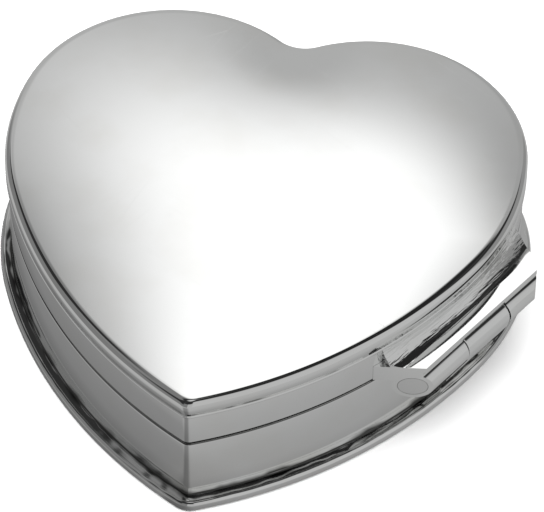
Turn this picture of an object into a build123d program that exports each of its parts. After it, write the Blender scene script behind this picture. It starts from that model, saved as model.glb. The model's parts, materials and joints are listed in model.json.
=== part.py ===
"""Heart-shaped wind-up music box: a polished metal case with a side-hinged lid, and a small
pinned-cylinder movement inside it. Millimetres, +Z up. The origin is at the middle of the heart
outline, on the surface that the foot ring stands on. The point of the heart is towards -Y and
the hinge is on the +X flank.
"""

from math import acos, asin, atan2, cos, degrees, hypot, pi, radians, sin, sqrt, tan
import os

from build123d import *

os.makedirs("parts", exist_ok=True)

# ---------------------------------------------------------------------------------------------
# Driving dimensions
# ---------------------------------------------------------------------------------------------

# The heart outline is a chain of tangent arcs, from the point up the flank, round the shoulder
# and the lobe to the cleft. Each has the turn that it makes, in degrees, and its radius.
TIP_TURN, TIP_R = 26.6, 1.8
FLANK_TURN, FLANK_R = 38.0, 73.7
SHOULDER_TURN, SHOULDER_R = 36.1, 37.8
LOBE_TURN = 111.3
CLEFT_R = 5.1
SHARPEST_TIP_R = 0.5

# Heights above the table
FOOT_H = 3.0
SEAM_Z = 12.8
SEAM_GAP = 0.15
CAP_SKIRT_Z = 18.6
RIM_Z = 21.7
CROWN_Z = 22.9
FLOOR_Z = 6.4  # top of the floor plate
FLOOR_T = 0.8

# Offsets from the heart outline; outwards is positive
FOOT_OUT = 1.4
WALL_OUT = -0.35
BASE_WALL_T = 0.8
LID_WALL_T = 0.6
CAP_T = 0.7
CAP_SKIRT_T = 0.33
SLIP = 0.02  # gap between soldered or pressed faces
LIP_T = 0.6
LIP_TOP_Z = 14.7
LINING_T = 0.5
LID_LINING_Z = 19.6
LID_WALL_TOP_Z = 20.1
DOME_REACH = 44.4  # from the middle of the dome to where it would meet the rim's level
CAP_ROUND = 0.45
DIVIDER_Y, DIVIDER_T = -3.6, 0.8
COMPARTMENT_PAD_T = 1.2

# Hinge: its own frame has X along the pin towards the point of the heart, Y outwards, Z up
HINGE_MID = (34.8, -7.75)
HINGE_HEADING = 61.8  # degrees from +X to the pin's far end
HINGE_Z = 11.9
HINGE_HALF = 13.5
NEAR_MITRE = 38.0  # degrees that the end towards the point is cut back from square
FAR_MITRE = 20.0
KNUCKLE_R = 2.35
PIN_R = 1.7
PIN_CLEARANCE = 0.05
KNUCKLE_CUTS = (3.6, -5.7)  # where the three knuckles meet along the pin
KNUCKLE_GAP = 0.2
SWING_R = KNUCKLE_R + 0.3  # room in the lid leaf for the middle knuckle
LEAF_TOP_Z = 15.8
LEAF_T = 0.8
LEAF_OUT = 1.45  # how far the leaf reaches past the pin's axis
LEAF_IN = -0.85  # where its flat top turns up into the cove
WEB_OUT = 1.1
COVE_TOP_Z = 18.5
COVE_DEPTH = 0.3  # share of the cove's rise and run that its middle keeps
COVE_STATIONS = (-15.5, -10.0, -4.0, 2.0, 8.0, 15.5)
STOP_POINT = (2.0, -1.72)  # where the open lid's web comes to rest on the base block

# Movement: its own frame has its origin on the floor plate, under the middle of the bedplate
MOVEMENT_X, MOVEMENT_Y = 0.4, 12.4
PLATE_X0, PLATE_X1 = -17.4, 17.8
PLATE_Y0, PLATE_Y1 = -13.8, 12.4
PLATE_Z, PLATE_T = 1.2, 1.2
PLATE_TOP = PLATE_Z + PLATE_T
MOUNT_SCREWS = ((-15.0, 10.2), (15.0, -11.6), (-1.0, 10.6))
MOUNT_SCREW_R = 0.8
MOUNT_SCREW_L = FLOOR_T + PLATE_TOP - 0.6
COMB_SCREWS = ((1.6, 7.9), (9.1, 7.9))
COMB_Z, COMB_T = 6.3, 0.9
COMB_TOOTH_T = 0.4
BARREL_X, BARREL_Y = -9.6, -6.0
CYLINDER_Y, CYLINDER_Z = -6.0, 6.6
CYLINDER_R = 3.5
CYLINDER_X0, CYLINDER_X1 = -1.2, 11.9
BEARING_X = -2.05
ARBOR_R = 0.6
MUSIC_PIN_R, MUSIC_PIN_H = 0.14, 0.45
TOOTH_COUNT = 18
TOOTH_PITCH = 0.7
PINS_PER_TOOTH = 5

# Gear train
WHEEL_TEETH, WHEEL_R, WHEEL_FACE = 36, 6.4, 1.0
PINION_TEETH = 12
CYLINDER_GEAR_TEETH, GOVERNOR_PINION_TEETH, TRAIN_MODULE = 30, 10, 0.24
GOVERNOR_WHEEL_TEETH, GOVERNOR_WHEEL_R = 16, 2.2
WORM_STARTS, WORM_R = 2, 0.75
GEAR_PLAY = 0.04  # added to each centre distance
PRESSURE_ANGLE = 20.0

GOVERNOR_Y = CYLINDER_Y + TRAIN_MODULE * (CYLINDER_GEAR_TEETH + GOVERNOR_PINION_TEETH) / 2 + GEAR_PLAY
WORM_X = 15.1
WORM_Y = GOVERNOR_Y + GOVERNOR_WHEEL_R + WORM_R + GEAR_PLAY

GOVERNOR_SCREWS = ((16.2, 7.2), (14.4, -9.6))
GOVERNOR_ARBOR_R = 0.35
PIVOT_PLAY = 0.05
FAN_Z0, FAN_Z1 = 10.1, 11.3
LEVER_X, LEVER_Y, LEVER_Z = WORM_X, 10.4, 11.9

# Winding
HOUSING_R, HOUSING_T = 5.4, 0.45
HOUSING_Z0, HOUSING_Z1 = 3.75, 9.4
SPRING_TURNS, SPRING_T, SPRING_H = 5.5, 0.24, 4.0
BRIDGE_POSTS = ((-15.8, 0.9), (-15.8, -12.3))
BRIDGE_Z, BRIDGE_T = HOUSING_Z1 + SLIP, 0.8
WINDING_R = 1.2
KEY_PIN_Z = -4.3  # in the movement's frame, under the floor plate
KEY_HUB_R = 2.4
KEY_PIN_R = 0.5
KEY_T = 1.2
KEY_BOW_Y = 9.8  # middle of the key's bow, from the pin

PARTS = {}


# ---------------------------------------------------------------------------------------------
# Helpers
# ---------------------------------------------------------------------------------------------

def box(x0, x1, y0, y1, z0, z1):
    """A block between two corners."""
    return Pos((x0 + x1) / 2, (y0 + y1) / 2, (z0 + z1) / 2) * Box(x1 - x0, y1 - y0, z1 - z0)


def rod(x, y, z0, z1, r):
    """An upright round bar."""
    return Pos(x, y, (z0 + z1) / 2) * Cylinder(r, z1 - z0)


def rod_x(x0, x1, y, z, r):
    """A round bar along X."""
    return Pos((x0 + x1) / 2, y, z) * Rot(0, 90, 0) * Cylinder(r, x1 - x0)


def prism_x(points, x0, x1):
    """A solid of constant section along X; the points are (y, z)."""
    outline = [Vector(x0, y, z) for y, z in points]
    return extrude(make_face(Polyline(*outline, close=True)), amount=x1 - x0, dir=(1, 0, 0))


def heart_arcs():
    """Centres, radii and headings of the outline's right half, from the point to the cleft."""
    headings = [0.0]
    for turn in (TIP_TURN, FLANK_TURN, SHOULDER_TURN, LOBE_TURN):
        headings.append(headings[-1] + radians(turn))
    reach = TIP_R * sin(headings[1])
    reach += FLANK_R * (sin(headings[2]) - sin(headings[1]))
    reach += SHOULDER_R * (sin(headings[3]) - sin(headings[2]))
    reach += CLEFT_R * sin(headings[4])
    lobe_r = reach / (sin(headings[3]) - sin(headings[4]))
    radii = [TIP_R, FLANK_R, SHOULDER_R, lobe_r]
    x, y, arcs = 0.0, 0.0, []
    for r, h0, h1 in zip(radii, headings, headings[1:]):
        cx, cy = x - r * sin(h0), y + r * cos(h0)
        arcs.append([cx, cy, r, h0, h1])
        x, y = cx + r * sin(h1), cy - r * cos(h1)
    arcs.append([x + CLEFT_R * sin(headings[4]), y - CLEFT_R * cos(headings[4]), -CLEFT_R,
                 headings[4], pi])
    top = arcs[3][1] + lobe_r
    for arc in arcs:
        arc[1] -= top / 2
    return arcs


HEART = heart_arcs()


def heart_edges(offset):
    """The outline moved outwards by offset, as arcs about the same centres. The point keeps a
    small radius however far in it is moved."""
    tip, flank = HEART[0], HEART[1]
    tip_r = max(TIP_R + offset, SHARPEST_TIP_R)
    span = flank[2] + offset - tip_r
    tip_y = flank[1] - sqrt(span ** 2 - flank[0] ** 2)
    tip_heading = atan2(-flank[0], flank[1] - tip_y)
    arcs = [[0.0, tip_y, tip_r - offset, 0.0, tip_heading], flank[:3] + [tip_heading, flank[4]]]
    arcs += HEART[2:]
    right = []
    for cx, cy, r, h0, h1 in arcs:
        reach = r + offset
        points = [(cx + reach * sin(h), cy - reach * cos(h)) for h in (h0, (h0 + h1) / 2, h1)]
        right.append(points)
    left = [[(-x, y) for x, y in reversed(points)] for points in reversed(right)]
    return [Edge.make_three_point_arc(*(Vector(x, y, 0) for x, y in p)) for p in right + left]


def heart_face(offset):
    return Face(Wire(heart_edges(offset)))


def heart_plate(offset, z0, z1):
    """A heart-shaped plate."""
    return extrude(Pos(0, 0, z0) * heart_face(offset), amount=z1 - z0, dir=(0, 0, 1))


def heart_ring(outer, inner, z0, z1):
    """A heart-shaped band of upright walls."""
    return heart_plate(outer, z0, z1) - heart_plate(inner, z0 - 1, z1 + 1)


def gear_points(module, teeth, thinning, addendum, dedendum):
    """Involute outline of a spur gear about the origin, one list of points for each tooth."""
    pitch_r = module * teeth / 2
    base_r = pitch_r * cos(radians(PRESSURE_ANGLE))
    root_r, tip_r = pitch_r - dedendum, pitch_r + addendum
    half = (pi * module / 2 - thinning) / 2 / pitch_r
    inv_pitch = tan(radians(PRESSURE_ANGLE)) - radians(PRESSURE_ANGLE)
    flank = [(root_r, half + inv_pitch)]
    for step in range(4):
        r = max(base_r, root_r) + (tip_r - max(base_r, root_r)) * step / 3
        pressure = acos(min(1.0, base_r / r))
        flank.append((r, half + inv_pitch - (tan(pressure) - pressure)))
    outlines = []
    for tooth in range(teeth):
        middle = 2 * pi * tooth / teeth
        side_a = [(r * cos(middle - a), r * sin(middle - a)) for r, a in flank]
        side_b = [(r * cos(middle + a), r * sin(middle + a)) for r, a in reversed(flank)]
        outlines.append(side_a + side_b)
    return outlines


def gear_face(module, teeth, thinning, addendum, dedendum):
    points = [p for tooth in gear_points(module, teeth, thinning, addendum, dedendum) for p in tooth]
    return make_face(Polyline(*points, close=True))


def slotted_screw(x, y, head_z, head_r, head_t, shank_r, shank_l, up=True):
    """A cheese-head screw. Its head stands on head_z and its shank points the other way."""
    way = 1 if up else -1
    head = rod(x, y, *sorted((head_z, head_z + way * head_t)), head_r)
    top = head_z + way * head_t
    slot = box(x - 0.15, x + 0.15, y - head_r, y + head_r, *sorted((top, top - way * head_t * 0.4)))
    shank = rod(x, y, *sorted((head_z, head_z - way * shank_l)), shank_r)
    return (head - slot) + shank


def in_movement(shape):
    """Places a shape that was made in the movement's frame."""
    return Pos(MOVEMENT_X, MOVEMENT_Y, FLOOR_Z) * shape


def in_hinge(shape):
    """Places a shape that was made in the hinge's frame."""
    along = radians(HINGE_HEADING)
    frame = Plane(origin=(*HINGE_MID, HINGE_Z), x_dir=(-cos(along), -sin(along), 0), z_dir=(0, 0, 1))
    return frame.location * shape


def keep(name, shape):
    PARTS[name] = shape


# ---------------------------------------------------------------------------------------------
# Case
# ---------------------------------------------------------------------------------------------

def base_case():
    """Foot ring, wall, floor and the inner lip that the lid closes over."""
    inner = WALL_OUT - BASE_WALL_T
    band_z = 1.6
    section = make_face(
        Polyline((FOOT_OUT, 0.5), (FOOT_OUT, band_z - 0.4), (FOOT_OUT - 0.4, band_z))
        + ThreePointArc((FOOT_OUT - 0.4, band_z), (WALL_OUT + 0.42, band_z + 0.45), (WALL_OUT, FOOT_H))
        + Polyline((WALL_OUT, FOOT_H), (inner, FOOT_H), (inner, 0), (FOOT_OUT - 0.5, 0), (FOOT_OUT, 0.5))
    )
    path = Wire(heart_edges(0))
    tip = path @ 0
    profile = Plane(origin=tip, x_dir=(0, -1, 0), z_dir=(-1, 0, 0)) * section
    keep("foot_ring", sweep(profile, path))
    keep("base_wall", heart_ring(WALL_OUT, inner, FOOT_H, SEAM_Z))
    arbor_hole = in_movement(rod(BARREL_X, BARREL_Y, -2, 1, WINDING_R + 0.4))
    floor = heart_plate(inner - SLIP, FLOOR_Z - FLOOR_T, FLOOR_Z) - arbor_hole
    for x, y in MOUNT_SCREWS:
        floor -= in_movement(rod(x, y, -2, 1, MOUNT_SCREW_R + 0.2))
    keep("floor_plate", floor)
    lip_out = inner - SLIP
    keep("inner_lip", heart_ring(lip_out, lip_out - LIP_T, FLOOR_Z, LIP_TOP_Z))


def lid_case():
    """Domed cap with a short turned-down skirt, soldered over the lid's wall."""
    dome_r = DOME_REACH ** 2 / (2 * (CROWN_Z - RIM_Z))
    outside = heart_plate(0, CAP_SKIRT_Z, CROWN_Z + 1) & Pos(0, 0, CROWN_Z - dome_r) * Sphere(dome_r)
    top_edge = outside.faces().sort_by(Axis.Z)[-1].edges()
    outside = fillet(top_edge, CAP_ROUND)
    inside = heart_plate(-CAP_SKIRT_T, CAP_SKIRT_Z - 1, CROWN_Z)
    inside &= Pos(0, 0, CROWN_Z - dome_r) * Sphere(dome_r - CAP_T)
    keep("lid_top", outside - inside)
    inner = WALL_OUT - LID_WALL_T
    keep("lid_wall", heart_ring(WALL_OUT, inner, SEAM_Z + SEAM_GAP, LID_WALL_TOP_Z))
    lining = heart_plate(inner - 0.1, LID_LINING_Z, LID_LINING_Z + LINING_T)
    keep("lid_lining", lining)


def hinge_outline():
    """Plan of the hinge: mitred towards the point, mitred and rounded at the far end."""
    near = tan(radians(NEAR_MITRE))
    far = tan(radians(FAR_MITRE))
    outer, inner = 3.2, -9.0
    round_start = (-HINGE_HALF - 0.6 - 2.0 * far, -2.0)
    return make_face(
        ThreePointArc(round_start, (-HINGE_HALF + 0.2, 0.8), (-9.0, 2.7))
        + Polyline((-9.0, 2.7), (-8.0, outer), (HINGE_HALF - outer * near, outer),
                   (HINGE_HALF - inner * near, inner), (-HINGE_HALF - 0.6 + inner * far, inner),
                   round_start)
    )


def wall_beside_hinge(x, offset):
    """How far out the outline lies at a place along the pin, in the hinge's frame."""
    along = radians(HINGE_HEADING)
    for cx, cy, r, h0, h1 in HEART:
        from_mid_x, from_mid_y = cx - HINGE_MID[0], cy - HINGE_MID[1]
        centre_x = -from_mid_x * cos(along) - from_mid_y * sin(along)
        centre_y = from_mid_x * sin(along) - from_mid_y * cos(along)
        if abs(x - centre_x) >= r + offset:
            continue
        lean = asin((x - centre_x) / (r + offset))
        if h0 <= along - lean <= h1:
            return centre_y + (r + offset) * cos(lean)


def cove():
    """Hollow moulding from the lid's wall down to the straight edge of the leaf's flat top."""
    top, rise = COVE_TOP_Z - HINGE_Z, COVE_TOP_Z - LEAF_TOP_Z
    leaf_top, leaf_under = LEAF_TOP_Z - HINGE_Z, LEAF_TOP_Z - LEAF_T - HINGE_Z
    sections = []
    for x in COVE_STATIONS:
        wall = wall_beside_hinge(x, WALL_OUT + 0.1)
        run = LEAF_IN - wall
        middle = (wall + COVE_DEPTH * run, leaf_top + COVE_DEPTH * rise)
        back = wall - 1.5
        section = make_face(
            Polyline((wall, top), (back, top), (back, leaf_under), (LEAF_IN, leaf_under),
                     (LEAF_IN, leaf_top))
            + ThreePointArc((LEAF_IN, leaf_top), middle, (wall, top))
        )
        sections.append(Plane(origin=(x, 0, 0), x_dir=(0, 1, 0), z_dir=(1, 0, 0)) * section)
    return loft(sections)


def hinge():
    """Three knuckles on one pin. The pin, the two outer knuckles and the leaf over them belong to
    the lid, so the flush ends stay flush as it opens."""
    near_cut, far_cut = KNUCKLE_CUTS
    half_gap = KNUCKLE_GAP / 2
    reach = HINGE_HALF + 9
    outline = in_hinge(extrude(hinge_outline(), amount=20, both=True))
    bore = rod_x(-reach, reach, 0, 0, PIN_R + PIN_CLEARANCE)
    to_seam = SEAM_Z + SEAM_GAP - HINGE_Z
    leaf_top = LEAF_TOP_Z - HINGE_Z
    leaf_under = leaf_top - LEAF_T
    deep = -9.0  # well inside the case, before the walls trim it
    leaf = box(-reach, reach, deep, LEAF_OUT, leaf_under, leaf_top)
    leaf += box(-reach, reach, deep, WEB_OUT, 0, leaf_under) - box(-reach, reach, deep, -0.6, -1, to_seam)
    leaf -= rod_x(far_cut - half_gap, near_cut + half_gap, 0, 0, SWING_R)
    leaf -= box(far_cut - half_gap, near_cut + half_gap, -0.7, SWING_R, -1, 0.9)
    for x0, x1 in ((near_cut + half_gap, reach), (-reach, far_cut - half_gap)):
        leaf += rod_x(x0, x1, 0, 0, KNUCKLE_R)
    leaf = in_hinge(leaf + cove() - bore) & outline
    leaf -= heart_plate(WALL_OUT + SLIP, SEAM_Z + 0.01, CAP_SKIRT_Z + 5)
    leaf -= heart_plate(WALL_OUT + 0.18, 0, SEAM_Z + SEAM_GAP - 0.01)
    keep("lid_hinge_leaf", leaf)

    foot_z = FOOT_H - HINGE_Z
    x0, x1 = far_cut + half_gap, near_cut - half_gap
    block = rod_x(x0, x1, 0, 0, KNUCKLE_R)
    block += prism_x([(deep, 0), (KNUCKLE_R, 0), STOP_POINT, (-1.6, foot_z), (deep, foot_z)], x0, x1)
    block += box(x0, x1, deep, -1.0, -0.1, SEAM_Z - HINGE_Z)
    keep("base_hinge_block", in_hinge(block - bore) - heart_plate(WALL_OUT + SLIP, 0, SEAM_Z + 5))
    keep("hinge_pin", in_hinge(rod_x(-reach, reach, 0, 0, PIN_R)) & outline)


def compartment():
    """A low divider keeps the movement apart from the keepsake space at the heart's point."""
    room = heart_plate(WALL_OUT - BASE_WALL_T - SLIP - LIP_T - SLIP, FLOOR_Z, LIP_TOP_Z - 0.6)
    divider = box(-50, 50, DIVIDER_Y, DIVIDER_Y + DIVIDER_T, FLOOR_Z, LIP_TOP_Z - 0.6) & room
    keep("divider", divider)
    pad = box(-50, 50, -60, DIVIDER_Y - SLIP, FLOOR_Z, FLOOR_Z + COMPARTMENT_PAD_T) & room
    keep("compartment_pad", pad)


# ---------------------------------------------------------------------------------------------
# Movement frame
# ---------------------------------------------------------------------------------------------

def bedplate():
    """Cast plate with screw bosses under it and the comb's ledge on it."""
    plate = box(PLATE_X0, PLATE_X1, PLATE_Y0, PLATE_Y1, PLATE_Z, PLATE_TOP)
    plate = fillet(plate.edges().filter_by(Axis.Z), 1.5)
    for x, y in MOUNT_SCREWS:
        plate += rod(x, y, 0, PLATE_Z, 1.9)
    plate += box(CYLINDER_X0, CYLINDER_X1, 6.0, 9.8, PLATE_TOP, COMB_Z - SLIP)
    plate -= rod(BARREL_X, BARREL_Y, -1, 4, WINDING_R + 0.1)
    for x, y in MOUNT_SCREWS:
        plate -= rod(x, y, -0.1, PLATE_TOP - 0.2, MOUNT_SCREW_R + SLIP)
    for x, y in COMB_SCREWS:
        plate -= rod(x, y, COMB_Z - 2.8, COMB_Z + 1, 0.6 + SLIP)
    for x, y in BRIDGE_POSTS:
        plate -= rod(x, y, PLATE_Z - 0.1, PLATE_TOP + 1, 0.7 + SLIP)
    for x, y in GOVERNOR_SCREWS:
        plate -= rod(x, y, PLATE_Z - 0.1, PLATE_TOP + 1, 0.45 + SLIP)
    plate -= rod(LEVER_X, LEVER_Y, PLATE_Z - 0.1, PLATE_TOP + 1, 0.7 + SLIP)
    plate -= rod(BEARING_X, CYLINDER_Y, PLATE_Z - 0.1, PLATE_TOP + 1, 0.3)
    keep("bedplate", in_movement(plate))
    screws = [slotted_screw(x, y, -FLOOR_T, 1.6, 0.8, MOUNT_SCREW_R, MOUNT_SCREW_L, up=False)
              for x, y in MOUNT_SCREWS]
    keep("movement_screws", in_movement(Compound(screws)))


def comb():
    """Eighteen steel teeth cut in one plate, the bass teeth longest, with lead weights below."""
    tip_y = CYLINDER_Y + CYLINDER_R + MUSIC_PIN_H + 0.1
    body = box(CYLINDER_X0, CYLINDER_X1, 5.6, 9.8, COMB_Z, COMB_Z + COMB_T)
    teeth = box(CYLINDER_X0, CYLINDER_X1, tip_y, 5.7, COMB_Z, COMB_Z + COMB_TOOTH_T)
    slots = []
    for gap in range(TOOTH_COUNT + 1):
        x = comb_x(gap) - TOOTH_PITCH / 2
        root_y = 5.3 - 2.2 * gap / TOOTH_COUNT
        slots.append(box(x - 0.1, x + 0.1, tip_y - 1, root_y, COMB_Z - 1, COMB_Z + 2))
    first, last = comb_x(0) - 0.4, comb_x(TOOTH_COUNT - 1) + 0.4
    end_trim = [box(CYLINDER_X0 - 1, first, tip_y - 1, 4.6, COMB_Z - 1, COMB_Z + 2),
                box(last, CYLINDER_X1 + 1, tip_y - 1, 3.4, COMB_Z - 1, COMB_Z + 2)]
    plate = body + teeth - slots - end_trim
    for x, y in COMB_SCREWS:
        plate -= rod(x, y, COMB_Z - 1, COMB_Z + 2, 0.7)
    keep("comb", in_movement(plate))
    weights = [box(comb_x(i) - 0.22, comb_x(i) + 0.22, tip_y + 0.3, tip_y + 2.4 - 0.2 * i,
                   COMB_Z - 1.5 + 0.1 * i, COMB_Z) for i in range(8)]
    keep("comb_weights", in_movement(Compound(weights)))
    screws = [slotted_screw(x, y, COMB_Z + COMB_T, 1.35, 0.75, 0.6, 3.2) for x, y in COMB_SCREWS]
    keep("comb_screws", in_movement(Compound(screws)))


def comb_x(tooth):
    """Middle of a tooth along the cylinder."""
    return (CYLINDER_X0 + CYLINDER_X1) / 2 + (tooth - (TOOTH_COUNT - 1) / 2) * TOOTH_PITCH


def cylinder_group():
    """Pinned cylinder on its arbor, driven at one end and driving the governor at the other."""
    arbor = rod_x(-3.9, 14.3, CYLINDER_Y, CYLINDER_Z, ARBOR_R)
    keep("cylinder_arbor", in_movement(arbor))
    bore_r = ARBOR_R + SLIP
    drum = rod_x(CYLINDER_X0, CYLINDER_X1, CYLINDER_Y, CYLINDER_Z, CYLINDER_R)
    drum -= rod_x(CYLINDER_X0 - 1, CYLINDER_X1 + 1, CYLINDER_Y, CYLINDER_Z, bore_r)
    for x0, x1 in ((CYLINDER_X0 - 1, CYLINDER_X0 + 0.4), (CYLINDER_X1 - 0.4, CYLINDER_X1 + 1)):
        dish = rod_x(x0, x1, CYLINDER_Y, CYLINDER_Z, CYLINDER_R - 0.5)
        drum -= dish - rod_x(x0, x1, CYLINDER_Y, CYLINDER_Z, 1.4)
    keep("cylinder", in_movement(drum))
    pins = []
    for tooth in range(TOOTH_COUNT):
        for beat in range(PINS_PER_TOOTH):
            turn = 360 * (beat / PINS_PER_TOOTH + 0.618 * tooth + 0.055 * ((tooth * 7 + beat * 5) % 4))
            pin = Pos(0, 0, CYLINDER_R + MUSIC_PIN_H / 2) * Cylinder(MUSIC_PIN_R, MUSIC_PIN_H)
            pins.append(Pos(comb_x(tooth), CYLINDER_Y, CYLINDER_Z) * Rot(turn % 360, 0, 0) * pin)
    keep("cylinder_pins", in_movement(Compound(pins)))

    module = 2 * WHEEL_R / WHEEL_TEETH
    pinion = gear_face(module, PINION_TEETH, 0.12, 0.3, 0.42)
    half_tooth = 180 / PINION_TEETH
    keep("cylinder_pinion", in_movement(
        gear_along_x(pinion, -3.75, -2.75, CYLINDER_Y, CYLINDER_Z, half_tooth, bore_r)))
    gear = gear_face(TRAIN_MODULE, CYLINDER_GEAR_TEETH, 0.06, 0.2, 0.3)
    keep("cylinder_gear", in_movement(
        gear_along_x(gear, 12.15, 12.95, CYLINDER_Y, CYLINDER_Z, 0, bore_r)))


def gear_along_x(face, x0, x1, y, z, turn, bore_r):
    """A spur gear on an arbor along X. At no turn, one tooth points along +Y."""
    blank = extrude(Rot(0, 0, turn) * face, amount=x1 - x0)
    blank -= Pos(0, 0, (x1 - x0) / 2) * Cylinder(bore_r, 3 * (x1 - x0))
    return Pos(x0, y, z) * Plane(origin=(0, 0, 0), x_dir=(0, 1, 0), z_dir=(1, 0, 0)).location * blank


def great_wheel():
    """Crown wheel under the spring housing; its upright teeth drive the cylinder's pinion."""
    pinion_r = WHEEL_R * PINION_TEETH / WHEEL_TEETH
    pitch_z = CYLINDER_Z - pinion_r - GEAR_PLAY
    inner_r, outer_r = WHEEL_R - WHEEL_FACE / 2, WHEEL_R + WHEEL_FACE / 2
    root_z, top_z = pitch_z - 0.36, pitch_z + 0.28
    wheel = rod(0, 0, PLATE_TOP + 0.3, PLATE_TOP + 1.1, outer_r)
    wheel += rod(0, 0, PLATE_TOP + 1.1, root_z, outer_r) - rod(0, 0, PLATE_TOP + 1.1, root_z, inner_r)
    pitch = 2 * pi * WHEEL_R / WHEEL_TEETH
    half_root, half_top = pitch * 0.5 / 2, pitch * 0.2 / 2
    section = [(-half_root, root_z - 0.1), (half_root, root_z - 0.1), (half_root, root_z),
               (half_top, top_z), (-half_top, top_z), (-half_root, root_z)]
    tooth = prism_x(section, inner_r + 0.05, outer_r - 0.05)
    wheel += [Rot(0, 0, 360 * i / WHEEL_TEETH) * tooth for i in range(WHEEL_TEETH)]
    wheel -= rod(0, 0, 0, 9, WINDING_R + 0.05)
    for spoke in range(5):
        wheel -= Rot(0, 0, 36 + 72 * spoke) * rod(3.9, 0, 0, 3.5, 1.0)
    keep("great_wheel", in_movement(Pos(BARREL_X, BARREL_Y, 0) * wheel))
    coil_r, wire_r = WINDING_R + 0.32, 0.22
    helix = Helix(pitch=2 * wire_r + 0.06, height=1.4, radius=coil_r)
    section = Plane(origin=helix @ 0, z_dir=helix % 0) * Circle(wire_r)
    coil = sweep(section, helix, is_frenet=True)
    keep("clutch_spring", in_movement(Pos(BARREL_X, BARREL_Y, PLATE_TOP + 1.35) * coil))


def mainspring():
    """Fixed housing, the spiral spring in it, and the bridge that holds the arbor's top pivot."""
    cup = rod(0, 0, HOUSING_Z0, HOUSING_Z1, HOUSING_R)
    cup -= rod(0, 0, HOUSING_Z0 - 1, HOUSING_Z1 - HOUSING_T, HOUSING_R - HOUSING_T)
    cup -= rod(0, 0, HOUSING_Z0, HOUSING_Z1 + 1, WINDING_R + 0.15)
    keep("spring_housing", in_movement(Pos(BARREL_X, BARREL_Y, 0) * cup))

    inner_r, outer_r = 2.1, HOUSING_R - HOUSING_T - 0.16
    steps = 66

    def spiral(shift):
        points = []
        for i in range(steps + 1):
            r = inner_r + (outer_r - inner_r) * i / steps + shift
            a = 2 * pi * SPRING_TURNS * i / steps
            points.append((r * cos(a), r * sin(a)))
        return points

    inside, outside = spiral(-SPRING_T / 2), spiral(SPRING_T / 2)
    ribbon = make_face([Spline(*inside), Line(inside[-1], outside[-1]), Spline(*outside),
                        Line(outside[0], inside[0])])
    strip = extrude(Pos(0, 0, HOUSING_Z0 + 1.15) * ribbon, amount=SPRING_H)
    keep("mainspring", in_movement(Pos(BARREL_X, BARREL_Y, 0) * strip))

    bridge = rod(BARREL_X, BARREL_Y, BRIDGE_Z, BRIDGE_Z + BRIDGE_T, 2.4)
    for x, y in BRIDGE_POSTS:
        reach = hypot(x - BARREL_X, y - BARREL_Y)
        turn = degrees(atan2(y - BARREL_Y, x - BARREL_X))
        arm = box(0, reach, -1.2, 1.2, BRIDGE_Z, BRIDGE_Z + BRIDGE_T)
        bridge += Pos(BARREL_X, BARREL_Y, 0) * Rot(0, 0, turn) * arm
        bridge += rod(x, y, BRIDGE_Z, BRIDGE_Z + BRIDGE_T, 1.5)
        bridge -= rod(x, y, BRIDGE_Z - 1, BRIDGE_Z + 2, 0.75)
    bridge -= rod(BARREL_X, BARREL_Y, BRIDGE_Z - 1, BRIDGE_Z + 2, 0.8 + PIVOT_PLAY)
    keep("barrel_bridge", in_movement(bridge))
    posts = []
    for x, y in BRIDGE_POSTS:
        post = rod(x, y, PLATE_TOP, BRIDGE_Z - SLIP, 1.2) + rod(x, y, PLATE_Z + 0.1, PLATE_TOP, 0.7)
        posts.append(post - rod(x, y, BRIDGE_Z - 2.2, BRIDGE_Z + 1, 0.55 + SLIP))
    keep("bridge_posts", in_movement(Compound(posts)))
    screws = [slotted_screw(x, y, BRIDGE_Z + BRIDGE_T, 1.2, 0.6, 0.55, 2.6) for x, y in BRIDGE_POSTS]
    keep("bridge_screws", in_movement(Compound(screws)))


def winding():
    """Arbor, and the key under the floor whose handle folds flat into the foot's recess."""
    arbor = rod(BARREL_X, BARREL_Y, KEY_PIN_Z + 1.6, HOUSING_Z1 - 0.1, WINDING_R)
    arbor += rod(BARREL_X, BARREL_Y, HOUSING_Z1 - 0.1, BRIDGE_Z + BRIDGE_T + 0.3, 0.8)
    keep("winding_arbor", in_movement(arbor))
    hub_top, hub_bottom = -1.1, KEY_PIN_Z - 1.05
    hub = rod(0, 0, hub_bottom, hub_top, KEY_HUB_R) - rod(0, 0, KEY_PIN_Z + 1.5, 0, WINDING_R + SLIP)
    hub = chamfer(hub.edges().group_by(Axis.Z)[0], 0.3)
    hub -= box(-0.85, 0.85, -5, 5, hub_bottom - 1, KEY_PIN_Z + 1.25)
    hub -= rod_x(-5, 5, 0, KEY_PIN_Z, KEY_PIN_R + SLIP)
    keep("key_hub", in_movement(Pos(BARREL_X, BARREL_Y, 0) * hub))
    keep("key_pin", in_movement(Pos(BARREL_X, BARREL_Y, 0) * rod_x(-2.2, 2.2, 0, KEY_PIN_Z, KEY_PIN_R)))
    key_z0, key_z1 = KEY_PIN_Z - KEY_T / 2, KEY_PIN_Z + KEY_T / 2
    tongue = rod_x(-0.75, 0.75, 0, KEY_PIN_Z, 1.0) + box(-0.75, 0.75, 0, 4.4, key_z0, key_z1)
    bow = extrude(Pos(0, KEY_BOW_Y, key_z0) * Ellipse(7.0, 6.6), amount=KEY_T, dir=(0, 0, 1))
    bow = fillet(bow.edges(), 0.4)
    for side in (-1, 1):
        window = Rot(0, 0, side * 12) * extrude(Ellipse(2.0, 4.0), amount=2, both=True)
        bow -= Pos(side * 3.2, KEY_BOW_Y + 0.4, KEY_PIN_Z) * window
    handle = tongue + bow - rod_x(-5, 5, 0, KEY_PIN_Z, KEY_PIN_R + 0.04)
    keep("key_handle", in_movement(Pos(BARREL_X, BARREL_Y, 0) * handle))


# ---------------------------------------------------------------------------------------------
# Governor and stop lever
# ---------------------------------------------------------------------------------------------

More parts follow.
